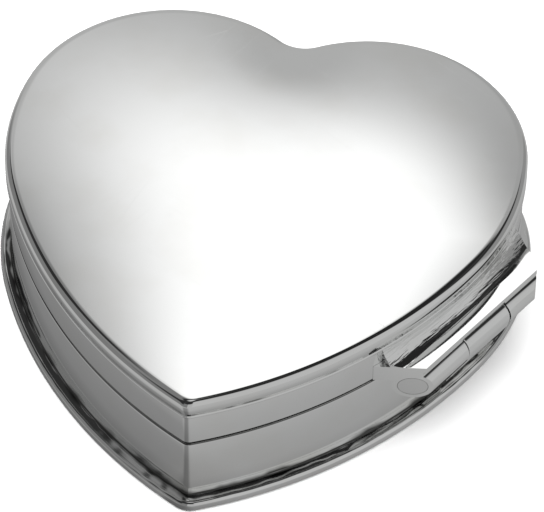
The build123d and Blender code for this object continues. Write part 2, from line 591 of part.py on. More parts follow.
def bearings():
    """Left bearing of the cylinder, and the governor's bracket that carries everything else."""
    side_y0, side_y1 = CYLINDER_Y - 1.5, CYLINDER_Y + 1.5
    post = box(BEARING_X - 0.4, BEARING_X + 0.4, side_y0, side_y1, PLATE_TOP, CYLINDER_Z + 1.2)
    post = fillet(post.edges().filter_by(Axis.X).group_by(Axis.Z)[-1], 1.2)
    post += rod(BEARING_X, CYLINDER_Y, PLATE_Z + 0.1, PLATE_TOP, 0.3 - SLIP)
    post -= rod_x(-9, 9, CYLINDER_Y, CYLINDER_Z, ARBOR_R + PIVOT_PLAY)
    keep("cylinder_bearing", in_movement(post))

    base = box(13.3, 17.2, -10.6, 8.4, PLATE_TOP, 3.1) - box(12, 13.9, -4.4, 9, 2, 4)
    inner_cheek = box(13.3, 14.1, -7.6, 0.4, PLATE_TOP, CYLINDER_Z + 1.4)
    outer_cheek = box(16.4, 17.2, -2.8, 0.6, PLATE_TOP, CYLINDER_Z + 1.2)
    column = box(14.1, 16.1, 4.9, 5.9, PLATE_TOP, 9.85)
    arm = box(14.3, 15.9, WORM_Y - 0.7, 5.0, 9.2, 9.85)
    bracket = base + inner_cheek + outer_cheek + column + arm
    bracket -= rod_x(12, 15, CYLINDER_Y, CYLINDER_Z, ARBOR_R + PIVOT_PLAY)
    bracket -= rod_x(12, 18, GOVERNOR_Y, CYLINDER_Z, GOVERNOR_ARBOR_R + PIVOT_PLAY)
    bracket -= rod(WORM_X, WORM_Y, 2.7, 12, GOVERNOR_ARBOR_R + PIVOT_PLAY)
    for x, y in GOVERNOR_SCREWS:
        bracket -= rod(x, y, 2, 4, 0.5)
    keep("governor_bracket", in_movement(bracket))
    screws = [slotted_screw(x, y, 3.1, 0.9, 0.5, 0.45, 1.7) for x, y in GOVERNOR_SCREWS]
    keep("governor_screws", in_movement(Compound(screws)))


def governor():
    """Pinion and slanted wheel on one arbor, and the two-start worm that spins the air brake."""
    bore_r = GOVERNOR_ARBOR_R + SLIP
    keep("governor_arbor", in_movement(rod_x(11.95, 17.0, GOVERNOR_Y, CYLINDER_Z, GOVERNOR_ARBOR_R)))
    pinion = gear_face(TRAIN_MODULE, GOVERNOR_PINION_TEETH, 0.06, 0.2, 0.3)
    half_tooth = 180 / GOVERNOR_PINION_TEETH
    keep("governor_pinion", in_movement(
        gear_along_x(pinion, 12.05, 13.05, GOVERNOR_Y, CYLINDER_Z, half_tooth, bore_r)))
    module = 2 * GOVERNOR_WHEEL_R / GOVERNOR_WHEEL_TEETH
    lead = WORM_STARTS * pi * module
    slant = lead / (2 * pi * WORM_R)
    width = 1.0
    twist = degrees(width * slant / GOVERNOR_WHEEL_R)
    face = Rot(0, 0, -twist / 2) * gear_face(module, GOVERNOR_WHEEL_TEETH, 0.16, 0.18, 0.3)
    blank = Solid.extrude_linear_with_rotation(face.face(), (0, 0, 0), (0, 0, width), twist)
    blank -= Pos(0, 0, width / 2) * Cylinder(bore_r, 3 * width)
    stand = Plane(origin=(0, 0, 0), x_dir=(0, 1, 0), z_dir=(1, 0, 0)).location
    keep("governor_wheel", in_movement(Pos(WORM_X - width / 2, GOVERNOR_Y, CYLINDER_Z) * stand * blank))

    thread_z0, thread_z1, root_r, tip_r = 4.0, 9.0, 0.5, 0.92
    ridge = 0.30  # axial thickness of the thread at its foot
    half_angle = ridge / lead * pi
    section = []
    for start in range(WORM_STARTS):
        middle = 2 * pi * start / WORM_STARTS
        for r, a in ((root_r, -1.5), (tip_r, -0.55), (tip_r, 0.55), (root_r, 1.5)):
            angle = middle + a * half_angle
            section.append((r * cos(angle), r * sin(angle)))
    thread = make_face(Polyline(*section, close=True)) + Circle(root_r)
    length = thread_z1 - thread_z0
    twist = 360 * length / lead
    screw = Solid.extrude_linear_with_rotation(thread.face(), (0, 0, 0), (0, 0, length), twist)
    phase = -90 + 180 / WORM_STARTS - 360 * (CYLINDER_Z - thread_z0) / lead
    worm = Pos(0, 0, thread_z0) * Rot(0, 0, phase) * screw
    worm += rod(0, 0, 2.8, thread_z0, GOVERNOR_ARBOR_R) + rod(0, 0, thread_z1, FAN_Z1, GOVERNOR_ARBOR_R)
    keep("worm", in_movement(Pos(WORM_X, WORM_Y, 0) * worm))
    fan = rod(0, 0, FAN_Z0, FAN_Z1, 0.8) + box(-2.6, 2.6, -0.12, 0.12, FAN_Z0, FAN_Z1 - 0.1)
    fan -= rod(0, 0, 9, 12, 0.35 + SLIP)
    keep("fan", in_movement(Pos(WORM_X, WORM_Y, 0) * fan))


def stop_lever():
    """The closed lid holds this lever down on the fan's hub. It lifts as the lid opens."""
    post = box(LEVER_X - 1.8, LEVER_X + 1.8, LEVER_Y - 0.8, LEVER_Y + 0.8, PLATE_TOP, LEVER_Z + 0.8)
    post -= box(LEVER_X - 0.95, LEVER_X + 0.95, LEVER_Y - 2, LEVER_Y + 2, LEVER_Z - 1.4, LEVER_Z + 2)
    post += rod(LEVER_X, LEVER_Y, PLATE_Z + 0.1, PLATE_TOP, 0.7)
    post -= rod_x(10, 20, LEVER_Y, LEVER_Z, 0.35 + SLIP)
    keep("lever_post", in_movement(post))
    keep("lever_pin", in_movement(rod_x(LEVER_X - 1.8, LEVER_X + 1.8, LEVER_Y, LEVER_Z, 0.35)))
    arm_z = FAN_Z1 + 0.08
    arm = rod_x(LEVER_X - 0.8, LEVER_X + 0.8, LEVER_Y, LEVER_Z, 0.75)
    arm += box(LEVER_X - 0.8, LEVER_X + 0.8, WORM_Y - 0.6, LEVER_Y, arm_z, arm_z + 0.45)
    feeler_top = LID_LINING_Z - FLOOR_Z - 0.12
    arm += rod(LEVER_X, WORM_Y + 2.0, arm_z + 0.2, feeler_top, 0.5)
    arm -= rod_x(10, 20, LEVER_Y, LEVER_Z, 0.35 + 0.04)
    keep("stop_lever", in_movement(arm))


base_case()
lid_case()
hinge()
compartment()
bedplate()
comb()
cylinder_group()
great_wheel()
mainspring()
winding()
bearings()
governor()
stop_lever()

for name, shape in PARTS.items():
    export_step(shape, f"parts/{name}.step")
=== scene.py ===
import json
from math import acos, atan2, cos, degrees, pi, radians, sin, sqrt, tan

import bpy
import numpy as np
from mathutils import Matrix, Vector


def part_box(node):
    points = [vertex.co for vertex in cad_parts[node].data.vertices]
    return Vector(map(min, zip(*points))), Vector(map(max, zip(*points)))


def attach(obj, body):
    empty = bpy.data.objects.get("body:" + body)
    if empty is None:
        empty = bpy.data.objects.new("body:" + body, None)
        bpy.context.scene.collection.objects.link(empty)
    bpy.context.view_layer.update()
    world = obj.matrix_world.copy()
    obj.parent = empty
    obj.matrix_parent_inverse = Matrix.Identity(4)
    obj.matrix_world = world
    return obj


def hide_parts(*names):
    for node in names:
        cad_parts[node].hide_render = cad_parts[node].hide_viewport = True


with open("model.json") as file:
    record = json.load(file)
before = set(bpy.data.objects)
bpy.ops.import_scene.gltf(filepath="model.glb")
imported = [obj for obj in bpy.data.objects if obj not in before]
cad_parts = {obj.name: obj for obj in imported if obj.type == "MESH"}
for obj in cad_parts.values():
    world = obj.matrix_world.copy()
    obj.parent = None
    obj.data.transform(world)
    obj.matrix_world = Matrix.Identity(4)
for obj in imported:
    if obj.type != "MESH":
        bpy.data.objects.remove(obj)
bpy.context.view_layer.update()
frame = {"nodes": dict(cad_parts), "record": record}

MM = 0.001

# ---------------------------------------------------------------------------------------------
# Outline of the heart, as tangent arcs from the point to the cleft, in millimetres and degrees
# ---------------------------------------------------------------------------------------------

TIP_TURN, TIP_R = 26.6, 1.8
FLANK_TURN, FLANK_R = 38.0, 73.7
SHOULDER_TURN, SHOULDER_R = 36.1, 37.8
LOBE_TURN = 111.3
CLEFT_R = 5.1
SHARPEST_TIP_R = 0.5
ARC_SAMPLES = (10, 130, 70, 130, 24)

# Offsets from the outline and thicknesses, in millimetres. Outwards is positive.
WALL_OUT = -0.35
BASE_WALL_T = 0.8
LID_WALL_T = 0.6
LIP_T = 0.6
SLIP = 0.02  # gap between soldered or pressed faces


def heart_arcs():
    """Centres, radii and headings of the right half's arcs."""
    headings = [0.0]
    for turn in (TIP_TURN, FLANK_TURN, SHOULDER_TURN, LOBE_TURN):
        headings.append(headings[-1] + radians(turn))
    reach = TIP_R * sin(headings[1])
    reach += FLANK_R * (sin(headings[2]) - sin(headings[1]))
    reach += SHOULDER_R * (sin(headings[3]) - sin(headings[2]))
    reach += CLEFT_R * sin(headings[4])
    lobe_r = reach / (sin(headings[3]) - sin(headings[4]))
    x, y, arcs = 0.0, 0.0, []
    for r, h0, h1 in zip((TIP_R, FLANK_R, SHOULDER_R, lobe_r), headings, headings[1:]):
        cx, cy = x - r * sin(h0), y + r * cos(h0)
        arcs.append([cx, cy, r, h0, h1])
        x, y = cx + r * sin(h1), cy - r * cos(h1)
    arcs.append([x + CLEFT_R * sin(headings[4]), y - CLEFT_R * cos(headings[4]), -CLEFT_R, headings[4], pi])
    top = arcs[3][1] + lobe_r
    for arc in arcs:
        arc[1] -= top / 2
    return arcs


HEART = heart_arcs()


def heart_loop(offset, tip_r=None):
    """Points of the outline moved outwards by offset, anticlockwise from the point, in mm. The
    point is rounded to the given radius instead of its own."""
    flank = HEART[1]
    tip_r = tip_r or max(TIP_R + offset, SHARPEST_TIP_R)
    span = flank[2] + offset - tip_r
    tip_y = flank[1] - sqrt(span ** 2 - flank[0] ** 2)
    tip_heading = atan2(-flank[0], flank[1] - tip_y)
    arcs = [[0.0, tip_y, tip_r - offset, 0.0, tip_heading], flank[:3] + [tip_heading, flank[4]]]
    right = []
    for (cx, cy, r, h0, h1), count in zip(arcs + HEART[2:], ARC_SAMPLES):
        h = h0 + (h1 - h0) * np.arange(count) / count
        right.append(np.stack([cx + (r + offset) * np.sin(h), cy - (r + offset) * np.cos(h)], 1))
    cleft = HEART[4]
    last = np.array([[0.0, cleft[1] - (cleft[2] + offset) * cos(cleft[4])]])
    right = np.concatenate(right + [last])
    left = right[1:-1][::-1] * (-1, 1)
    return np.concatenate([right, left])


# ---------------------------------------------------------------------------------------------
# Mesh helpers
# ---------------------------------------------------------------------------------------------

def add_object(name, data):
    made = bpy.data.objects.new(name, data)
    bpy.context.scene.collection.objects.link(made)
    return made


def finish_piece(piece, material):
    piece.data.materials.clear()
    piece.data.materials.append(material)


def new_piece(name, vertices, faces, body, slot, replaces, sharp=35, material=None):
    """A smooth mesh piece that rides on a body. Edges over the sharp angle stay crisp."""
    mesh = bpy.data.meshes.new(name)
    mesh.from_pydata([tuple(v) for v in vertices], [], faces)
    mesh.update()
    mesh.shade_smooth()
    mesh.set_sharp_from_angle(angle=radians(sharp))
    piece = add_object(name, mesh)
    finish_piece(piece, material or MATERIALS[slot])
    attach(piece, body)
    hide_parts(*replaces)
    return piece


def ring_at(offset, z):
    """The outline moved outwards by offset, at height z."""
    loop = heart_loop(offset)
    return np.column_stack([loop, np.full(len(loop), z)])


def band(a, b, n):
    """Faces between two closed rings of n points that start at vertices a and b."""
    return [(a + i, a + (i + 1) % n, b + (i + 1) % n, b + i) for i in range(n)]


def rounded(corners, steps=6):
    """A closed section. Each corner is (x, y, radius); the corner is replaced by an arc."""
    points = []
    count = len(corners)
    for i, (x, y, r) in enumerate(corners):
        here = np.array([x, y], float)
        before = np.array(corners[i - 1][:2], float) - here
        after = np.array(corners[(i + 1) % count][:2], float) - here
        if r <= 0:
            points.append(tuple(here))
            continue
        a, b = before / np.linalg.norm(before), after / np.linalg.norm(after)
        half = acos(np.clip(a @ b, -1, 1)) / 2
        reach = r / tan(half)
        middle = here + (a + b) / np.linalg.norm(a + b) * r / sin(half)
        start, end = here + a * reach - middle, here + b * reach - middle
        turn = atan2(start[0] * end[1] - start[1] * end[0], start @ end)
        for k in range(steps + 1):
            t = turn * k / steps
            spin = np.array([[cos(t), -sin(t)], [sin(t), cos(t)]])
            points.append(tuple(middle + spin @ start))
    return points


def heart_sweep(name, section, body, slot, replaces, sharp=35, material=None):
    """A closed section of (offset, z) points in mm, swept round the heart."""
    rings = [ring_at(offset, z) for offset, z in section]
    vertices = np.concatenate(rings) * MM
    n, m = len(rings[0]), len(rings)
    faces = []
    for j in range(m):
        faces += band(j * n, (j + 1) % m * n, n)
    area = sum(x0 * y1 - x1 * y0 for (x0, y0), (x1, y1) in zip(section, section[1:] + section[:1]))
    if area < 0:
        faces = [f[::-1] for f in faces]
    return new_piece(name, vertices, faces, body, slot, replaces, sharp, material)


# ---------------------------------------------------------------------------------------------
# Node materials
# ---------------------------------------------------------------------------------------------

class Shader:
    """A Principled material with object-space noise to drive its colour, roughness and bump."""

    def __init__(self, name, color, metallic=0.0, roughness=0.5, **sockets):
        self.material = bpy.data.materials.new(name)
        self.material.use_nodes = True
        self.tree = self.material.node_tree
        self.bsdf = self.tree.nodes["Principled BSDF"]
        self.bsdf.inputs["Base Color"].default_value = (*color, 1)
        self.bsdf.inputs["Metallic"].default_value = metallic
        self.bsdf.inputs["Roughness"].default_value = roughness
        for key, value in sockets.items():
            self.bsdf.inputs[key.replace("_", " ")].default_value = value
        self.coords = self.tree.nodes.new("ShaderNodeTexCoord").outputs["Object"]
        self.normal = None
        self.tone = None

    def node(self, kind, inputs=None, **settings):
        made = self.tree.nodes.new(kind)
        for key, value in settings.items():
            setattr(made, key, value)
        for key, value in (inputs or {}).items():
            self.put(made.inputs[key], value)
        return made

    def put(self, socket, value):
        if isinstance(value, bpy.types.NodeSocket):
            self.tree.links.new(value, socket)
        else:
            socket.default_value = value

    def stretched(self, scale, turn=(0, 0, 0)):
        """Object coordinates turned, and then with their own scale on each axis."""
        turned = self.node("ShaderNodeMapping", {"Vector": self.coords, "Rotation": turn}).outputs["Vector"]
        return self.node("ShaderNodeMapping", {"Vector": turned, "Scale": scale}).outputs["Vector"]

    def height_mm(self):
        """Height above the table."""
        made = self.node("ShaderNodeSeparateXYZ", {"Vector": self.coords})
        return self.maths("DIVIDE", made.outputs["Z"], MM)

    def noise(self, scale, detail=2.0, roughness=0.5, vector=None):
        made = self.node("ShaderNodeTexNoise", {"Vector": vector or self.coords, "Scale": scale,
                                                "Detail": detail, "Roughness": roughness})
        return made.outputs["Fac"]

    def span(self, value, low, high, to_low, to_high):
        made = self.node("ShaderNodeMapRange", {"Value": value, "From Min": low, "From Max": high,
                                                "To Min": to_low, "To Max": to_high}, clamp=True)
        return made.outputs["Result"]

    def maths(self, operation, a, b=0.0):
        made = self.node("ShaderNodeMath", {0: a, 1: b}, operation=operation)
        return made.outputs[0]

    def mix(self, factor, a, b):
        made = self.node("ShaderNodeMix", data_type="RGBA")
        self.put(made.inputs["Factor"], factor)
        for key, value in (("A", a), ("B", b)):
            socket = [s for s in made.inputs if s.name == key and s.type == "RGBA"][0]
            self.put(socket, value if isinstance(value, bpy.types.NodeSocket) else (*value, 1))
        return [s for s in made.outputs if s.type == "RGBA"][0]

    def color(self, value):
        self.put(self.bsdf.inputs["Base Color"], value)

    def rough(self, value):
        self.put(self.bsdf.inputs["Roughness"], value)

    def bump(self, height, distance_mm, strength=1.0):
        inputs = {"Height": height, "Distance": distance_mm * MM, "Strength": strength}
        if self.normal:
            inputs["Normal"] = self.normal
        self.normal = self.node("ShaderNodeBump", inputs).outputs["Normal"]
        self.put(self.bsdf.inputs["Normal"], self.normal)


def scratches(shader, scale, width, turn):
    """Thin straight marks: 1 on a mark, 0 elsewhere. Each set runs its own way."""
    along = shader.stretched((scale * 0.06, scale, scale), turn)
    inputs = {"Vector": along, "Scale": 1.0}
    cells = shader.node("ShaderNodeTexVoronoi", inputs, feature="DISTANCE_TO_EDGE")
    line = shader.span(cells.outputs["Distance"], 0.0, width, 1.0, 0.0)
    patchy = shader.span(shader.noise(scale * 0.3), 0.52, 0.62, 0.0, 1.0)
    return shader.maths("MULTIPLY", line, patchy)


def times(color, factors):
    return tuple(c * f for c, f in zip(color, factors))


def plate_shader(name, color, roughness):
    """Polished plate with faint cloudy tarnish, hairline scratches and slight waviness."""
    s = Shader(name, color, metallic=1.0, roughness=roughness)
    haze = s.noise(90, 3)
    s.tone = s.mix(s.span(haze, 0.45, 0.75, 0.0, 0.6), color, times(color, (0.93, 0.92, 0.90)))
    s.color(s.tone)
    fine, coarse = scratches(s, 260, 0.010, (0, 0, 0.5)), scratches(s, 180, 0.008, (0, 0, 2.0))
    marks = s.maths("MAXIMUM", fine, coarse)
    smudge = s.span(s.noise(55, 4, 0.6), 0.5, 0.8, 0.0, 0.035)
    base = s.maths("ADD", smudge, roughness)
    s.rough(s.maths("ADD", base, s.maths("MULTIPLY", marks, 0.10)))
    s.bump(s.noise(28, 1), 0.02, 0.35)
    s.bump(marks, 0.002, -0.25)
    return s


def plate_with_painted_crease_shade(name, crease_low, crease_high, ripple_mm=0.0):
    """Plate whose crease between two heights in mm is painted dark, as painted shade that stands for
    the shade and dark reflection in the crease. An edge rolled by hand also ripples."""
    s = plate_shader(name, SILVER, POLISH)
    if ripple_mm:
        s.bump(s.noise(95, 2), ripple_mm)
    wander = CREASE_WANDER * ripple_mm
    z = s.maths("ADD", s.height_mm(), s.span(s.noise(170, 2), 0.3, 0.7, -wander, wander))
    low, high = [(edge - CREASE_SOFT, edge + CREASE_SOFT) for edge in (crease_low, crease_high)]
    # Painted shade: the crease between the two heights takes the near-black colour
    crease_shade = s.maths("MULTIPLY", s.span(z, *low, 0, 1), s.span(z, *high, 1, 0))
    s.color(s.mix(s.maths("MULTIPLY", crease_shade, PAINTED_SHADE_STRENGTH), s.tone, PAINTED_SHADE_COLOR))
    return s.material


def filed_plate(flat_top_z):
    """Plate on the hinge leaf, whose cove above its flat top keeps the streaks of the file."""
    s = plate_shader("filed_plate", SILVER, POLISH)
    axes = {row["name"]: row["axis"] for row in frame["record"]["behaviour"]["joints"]}
    pin_x, pin_y, _ = axes["lid_hinge"]
    along_pin = s.stretched((90, 1100, 1100), (0, 0, -atan2(pin_y, pin_x)))
    above = s.span(s.height_mm(), flat_top_z + 0.1, flat_top_z + 0.35, 0, 1)
    s.bump(s.noise(1.0, 3, 0.6, along_pin), 0.3, above)
    return s.material


def turned_metal(name, color, roughness, grain=(1500, 60, 60)):
    """Bright machined or stamped metal with a fine directional grain."""
    s = Shader(name, color, metallic=1.0, roughness=roughness)
    line = s.noise(1.0, 3, 0.7, s.stretched(grain))
    s.rough(s.span(line, 0.25, 0.75, roughness * 0.75, roughness * 1.4))
    s.color(s.mix(s.span(s.noise(240, 3), 0.35, 0.75, 0, 0.7), color, times(color, (0.82,) * 3)))
    s.bump(line, 0.004, 0.35)
    return s.material


def cast_metal(name, color):
    """Unpolished casting: a fine grit, with a warm brown stain in patches."""
    s = Shader(name, color, metallic=1.0, roughness=0.42)
    grit = s.noise(2600, 4, 0.65)
    s.rough(s.span(grit, 0.3, 0.7, 0.34, 0.55))
    stained = times(color, (0.9, 0.84, 0.74))
    s.color(s.mix(s.span(s.noise(160, 4), 0.35, 0.7, 0, 1), color, stained))
    s.bump(grit, 0.02, 0.4)
    return s.material


def moulded_plastic(name, color, roughness):
    """Moulded plastic with a faint orange-peel surface."""
    s = Shader(name, color, roughness=roughness)
    s.rough(s.span(s.noise(900, 3), 0.3, 0.7, roughness * 0.85, roughness * 1.2))
    s.color(s.mix(s.span(s.noise(300, 2), 0.3, 0.7, 0, 0.6), color, times(color, (0.9,) * 3)))
    s.bump(s.noise(1800, 2), 0.01, 0.3)
    return s.material


def velvet(name, color):
    """Short pile: a fine fibre grain, brushed patches that lie over, and a sheen at the edges."""
    s = Shader(name, color, roughness=0.92, Sheen_Weight=0.55, Sheen_Roughness=0.4)
    s.bsdf.inputs["Sheen Tint"].default_value = (0.62, 0.68, 0.92, 1)
    brushed = s.noise(110, 4, 0.6)
    fibre = s.noise(5200, 3, 0.7)
    light = tuple(c * 1.9 + 0.01 for c in color)
    tone = s.mix(s.span(brushed, 0.4, 0.66, 0, 1), color, light)
    s.color(s.mix(s.span(fibre, 0.36, 0.62, 0.75, 0), tone, times(color, (0.45,) * 3)))
    s.bump(fibre, 0.09, 0.6)
    s.bump(brushed, 0.12, 0.4)
    return s.material


SILVER = (0.83, 0.835, 0.83)
POLISH = 0.035
# Near-black colour of the painted shade in creases
PAINTED_SHADE_COLOR = (0.03, 0.03, 0.028)
PAINTED_SHADE_STRENGTH = 0.95  # how much of the painted shade's colour a crease takes
CREASE_SOFT = 0.05  # mm over which a crease's painted shade fades, either side of its edge
CREASE_WANDER = 0.1  # how far its edge wanders, as a share of the ripple
MATERIALS = {
    "case_metal": plate_shader("polished_plate", SILVER, POLISH).material,
    "hinge_pin_metal": plate_shader("polished_pin", (0.74, 0.745, 0.74), 0.09).material,
    "plated_inside": plate_shader("satin_plate", (0.76, 0.76, 0.75), 0.22).material,
    "velvet": velvet("midnight_velvet", (0.018, 0.026, 0.085)),
    "bedplate_metal": cast_metal("yellow_casting", (0.72, 0.60, 0.34)),
    "brass": turned_metal("bright_brass", (0.86, 0.66, 0.30), 0.2),
    "steel": turned_metal("fine_steel", (0.62, 0.63, 0.64), 0.24),
    "lead": cast_metal("dull_lead", (0.25, 0.26, 0.28)),
    "nylon": moulded_plastic("white_nylon", (0.80, 0.79, 0.74), 0.42),
    "brake_plastic": moulded_plastic("black_plastic", (0.02, 0.02, 0.022), 0.5),
}

FOOT_CREASE_SHADE = (1.74, 2.02)  # heights of the crease between the foot's ledge and the wall, painted dark as shade
FOOT_RIPPLE = 0.65
LEAF_TOP_Z = 15.8  # height of the hinge leaf's flat top
# The foot's plate, with painted shade in its crease
ROLLED_PLATE_PAINTED_SHADE = plate_with_painted_crease_shade("rolled_plate_painted_shade", *FOOT_CREASE_SHADE, FOOT_RIPPLE)
FILED_PLATE = filed_plate(LEAF_TOP_Z)


# ---------------------------------------------------------------------------------------------
# Case
# ---------------------------------------------------------------------------------------------

def z_span(node):
    """A node's lowest and highest z in mm."""
    low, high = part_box(node)
    return low.z / MM, high.z / MM


SEAM_ROUND = 0.3
SEAM_INNER_ROUND = 0.1
SEAM_OPENING = 0.15  # taken off each side of the seam
SEAM_PAINTED_SHADE = (0.15, 0.03)  # how far below the base wall's edge its painted shade line, which darkens the seam, starts and ends
WALL_LAP = 0.05  # how far the wall reaches into the foot
LIP_ROUND = 0.25


def case_walls():
    """The base's wall, the lid's wall above the seam, and the lip that the lid closes over."""
    z0, z1 = z_span("base_wall")
    z0, z1 = z0 - WALL_LAP, z1 - SEAM_OPENING
    inner = WALL_OUT - BASE_WALL_T
    wall = rounded([(WALL_OUT, z0, 0), (WALL_OUT, z1, SEAM_ROUND),
                    (inner, z1, SEAM_INNER_ROUND), (inner, z0, 0)])
    # Painted shade along the base wall's rounded top edge darkens the seam
    seam_shade_plate = plate_with_painted_crease_shade("seam_plate_painted_shade", z1 - SEAM_PAINTED_SHADE[0], z1 - SEAM_PAINTED_SHADE[1])
    heart_sweep("case_wall", wall, "base", "case_metal", ["base_wall"], material=seam_shade_plate)

    z0, z1 = z_span("lid_wall")
    z0 += SEAM_OPENING
    inner = WALL_OUT - LID_WALL_T
    wall = rounded([(WALL_OUT, z0, SEAM_ROUND / 2), (WALL_OUT, z1, 0),
                    (inner, z1, 0), (inner, z0, SEAM_INNER_ROUND)])
    heart_sweep("lid_side", wall, "lid", "case_metal", ["lid_wall"])

    z0, z1 = z_span("inner_lip")
    outer = WALL_OUT - BASE_WALL_T - SLIP
    inner = outer - LIP_T
    lip = rounded([(outer, z0, 0), (outer, z1, LIP_ROUND), (inner, z1, LIP_ROUND), (inner, z0, 0)])
    heart_sweep("closing_lip", lip, "base", "plated_inside", ["inner_lip"])


FOOT_FLARE = 1.4
FOOT_BEAD_TOP, FOOT_BEAD_IN = 1.62, 0.72
FOOT_BEAD_LOWER_R, FOOT_BEAD_UPPER_R = 0.55, 0.72
FOOT_LEDGE_TILT = 8.5  # degrees that the ledge between the wall and the bead falls outwards
FOOT_LEDGE_STEP = 0.02  # how far the ledge starts above the bead
FOOT_ROOT_R = 0.3
ROLLED_SHARP = 50  # degrees; the shallow facets of a rolled edge stay smooth


def foot():
    """A rolled bead on the ground, and a narrow sloping ledge from it up to the wall."""
    z0, z1 = z_span("foot_ring")
    inner = WALL_OUT - BASE_WALL_T
    ledge_z = FOOT_BEAD_TOP + FOOT_LEDGE_STEP
    root_z = ledge_z + tan(radians(FOOT_LEDGE_TILT)) * (FOOT_BEAD_IN - WALL_OUT)
    section = rounded([
        (inner, z0, 0), (FOOT_FLARE, z0, FOOT_BEAD_LOWER_R), (FOOT_FLARE, FOOT_BEAD_TOP, FOOT_BEAD_UPPER_R),
        (FOOT_BEAD_IN, FOOT_BEAD_TOP, 0.05), (FOOT_BEAD_IN - 2 * FOOT_LEDGE_STEP, ledge_z, 0),
        (WALL_OUT, root_z, FOOT_ROOT_R), (WALL_OUT, z1, 0), (inner, z1, 0)], 8)
    # The moulding's plate has painted shade in the crease between the ledge and the wall.
    heart_sweep("foot_moulding", section, "base", "case_metal", ["foot_ring"], ROLLED_SHARP, ROLLED_PLATE_PAINTED_SHADE)


SOLVER_STEPS, SOLVER_END = 1500, 1e-18


def membrane(points, faces, fixed):
    """Height of a film stretched over the mesh and blown up gently, 0 on the fixed points and 1 at
    its highest. Solved with the cotangent Laplacian and conjugate gradients."""
    n = len(points)
    rows, cols, weights = [], [], []
    load = np.zeros(n)
    f = np.array(faces)
    for a, b, c in ((0, 1, 2), (1, 2, 0), (2, 0, 1)):
        i, j, k = f[:, a], f[:, b], f[:, c]
        u, v = points[i] - points[k], points[j] - points[k]
        cross = np.abs(u[:, 0] * v[:, 1] - u[:, 1] * v[:, 0])
        w = 0.5 * (u * v).sum(1) / cross
        rows += [i, j]
        cols += [j, i]
        weights += [w, w]
        np.add.at(load, i, cross / 6)
    rows, cols, weights = map(np.concatenate, (rows, cols, weights))
    diagonal = np.bincount(rows, weights, n)
    free = ~fixed

    def apply(x):
        return np.where(free, diagonal * x - np.bincount(rows, weights * x[cols], n), 0)

    x = np.zeros(n)
    r = np.where(free, load, 0)
    z = r / diagonal
    p, rz = z.copy(), r @ z
    for _ in range(SOLVER_STEPS):
        ap = apply(p)
        step = rz / (p @ ap)
        x += step * p
        r -= step * ap
        z = np.where(free, r / diagonal, 0)
        after = r @ z
        if after < SOLVER_END:
            break
        p, rz = z + p * after / rz, after
    return x / x.max()


RING_CROWDING = 1.15  # over 1 sets the rings closer together at the rim


def film_layout(rim, centre, ring_count):
    """Points, triangles and faces of a flat patch inside a rim, as rings that close on a centre."""
    n = len(rim)
    centre = np.array(centre)
    shares = [1 - (j / ring_count) ** RING_CROWDING for j in range(ring_count)]
    rings = [centre + (rim - centre) * share for share in shares]
    points = np.concatenate(rings + [centre[None]])
    quads = []
    for j in range(ring_count - 1):
        quads += band(j * n, (j + 1) * n, n)
    triangles = []
    for a, b, c, d in quads:
        triangles += [(a, b, c), (a, c, d)]
    last = (ring_count - 1) * n
    fan = [(last + i, last + (i + 1) % n, ring_count * n) for i in range(n)]
    return points, triangles + fan, quads + fan


def film(rim, centre, ring_count):
    """A flat patch's points and faces, and the height of a film blown up over it."""
    points, triangles, faces = film_layout(rim, centre, ring_count)
    fixed = np.zeros(len(points), bool)
    fixed[:len(rim)] = True
    return points, faces, membrane(points, triangles, fixed)


LID_ROLL = 1.1  # how far the rolled edge reaches in from the outline
LID_ROLL_STEPS = 12
LID_TIP_R = 3.2  # of the dome's edge at the point, inside the roll
CAP_T = 0.7
CAP_SKIRT_T = 0.33
DOME_RISE = 1.2
DOME_RINGS = 60
DOME_CENTRE = (0.0, 6.0)
SLOPE_SMOOTHING = 12
# Rings down the skirt as offsets and heights above its lower edge: a shallow groove, then the hem
SKIRT_GROOVE = ((0.0, 0.62), (-0.07, 0.56), (-0.1, 0.48), (-0.07, 0.40), (0.0, 0.34))
SKIRT_HEM = ((0.0, 0.12), (-0.035, 0.035), (-0.12, 0.0), (-CAP_SKIRT_T, 0.0))


def lid_cap():
    """Stamped lid top: a dome like a stretched film, a rolled edge and a turned-down skirt."""
    skirt_z, crown_z = z_span("lid_top")
    rim_z = crown_z - DOME_RISE
    inner, outer = heart_loop(-LID_ROLL, LID_TIP_R), heart_loop(0.0)
    n = len(inner)
    points, dome_faces, blown = film(inner, DOME_CENTRE, DOME_RINGS)
    heights = rim_z + DOME_RISE * blown
    gap = np.linalg.norm(points[:n] - points[n:2 * n], axis=1)
    slope = np.arctan((heights[n:2 * n] - heights[:n]) / gap)
    for _ in range(SLOPE_SMOOTHING):
        slope = (np.roll(slope, 1) + slope * 2 + np.roll(slope, -1)) / 4

    rings = []
    for k in range(1, LID_ROLL_STEPS + 1):
        angle = slope + (pi / 2 - slope) * k / LID_ROLL_STEPS
        share = (np.sin(angle) - np.sin(slope)) / (1 - np.sin(slope))
        z = rim_z + LID_ROLL * (np.cos(angle) - np.cos(slope))
        rings.append(np.column_stack([inner + (outer - inner) * share[:, None], z]))
    rings += [ring_at(offset, skirt_z + rise) for offset, rise in SKIRT_GROOVE + SKIRT_HEM]

    faces = list(dome_faces)
    above = 0
    for j in range(len(rings) + 1):
        ring = len(points) + j * n
        faces += band(ring, above, n)
        above = ring
    under = above
    faces += [tuple(under + v for v in face[::-1]) for face in dome_faces]
    dome = np.column_stack([points, heights])
    underside = np.column_stack([points, heights - CAP_T])
    vertices = np.concatenate([dome, *rings, underside]) * MM
    new_piece("lid_dome", vertices, faces, "lid", "case_metal", ["lid_top"], ROLLED_SHARP)


# ---------------------------------------------------------------------------------------------
# CAD nodes, with their slot's finish
# ---------------------------------------------------------------------------------------------

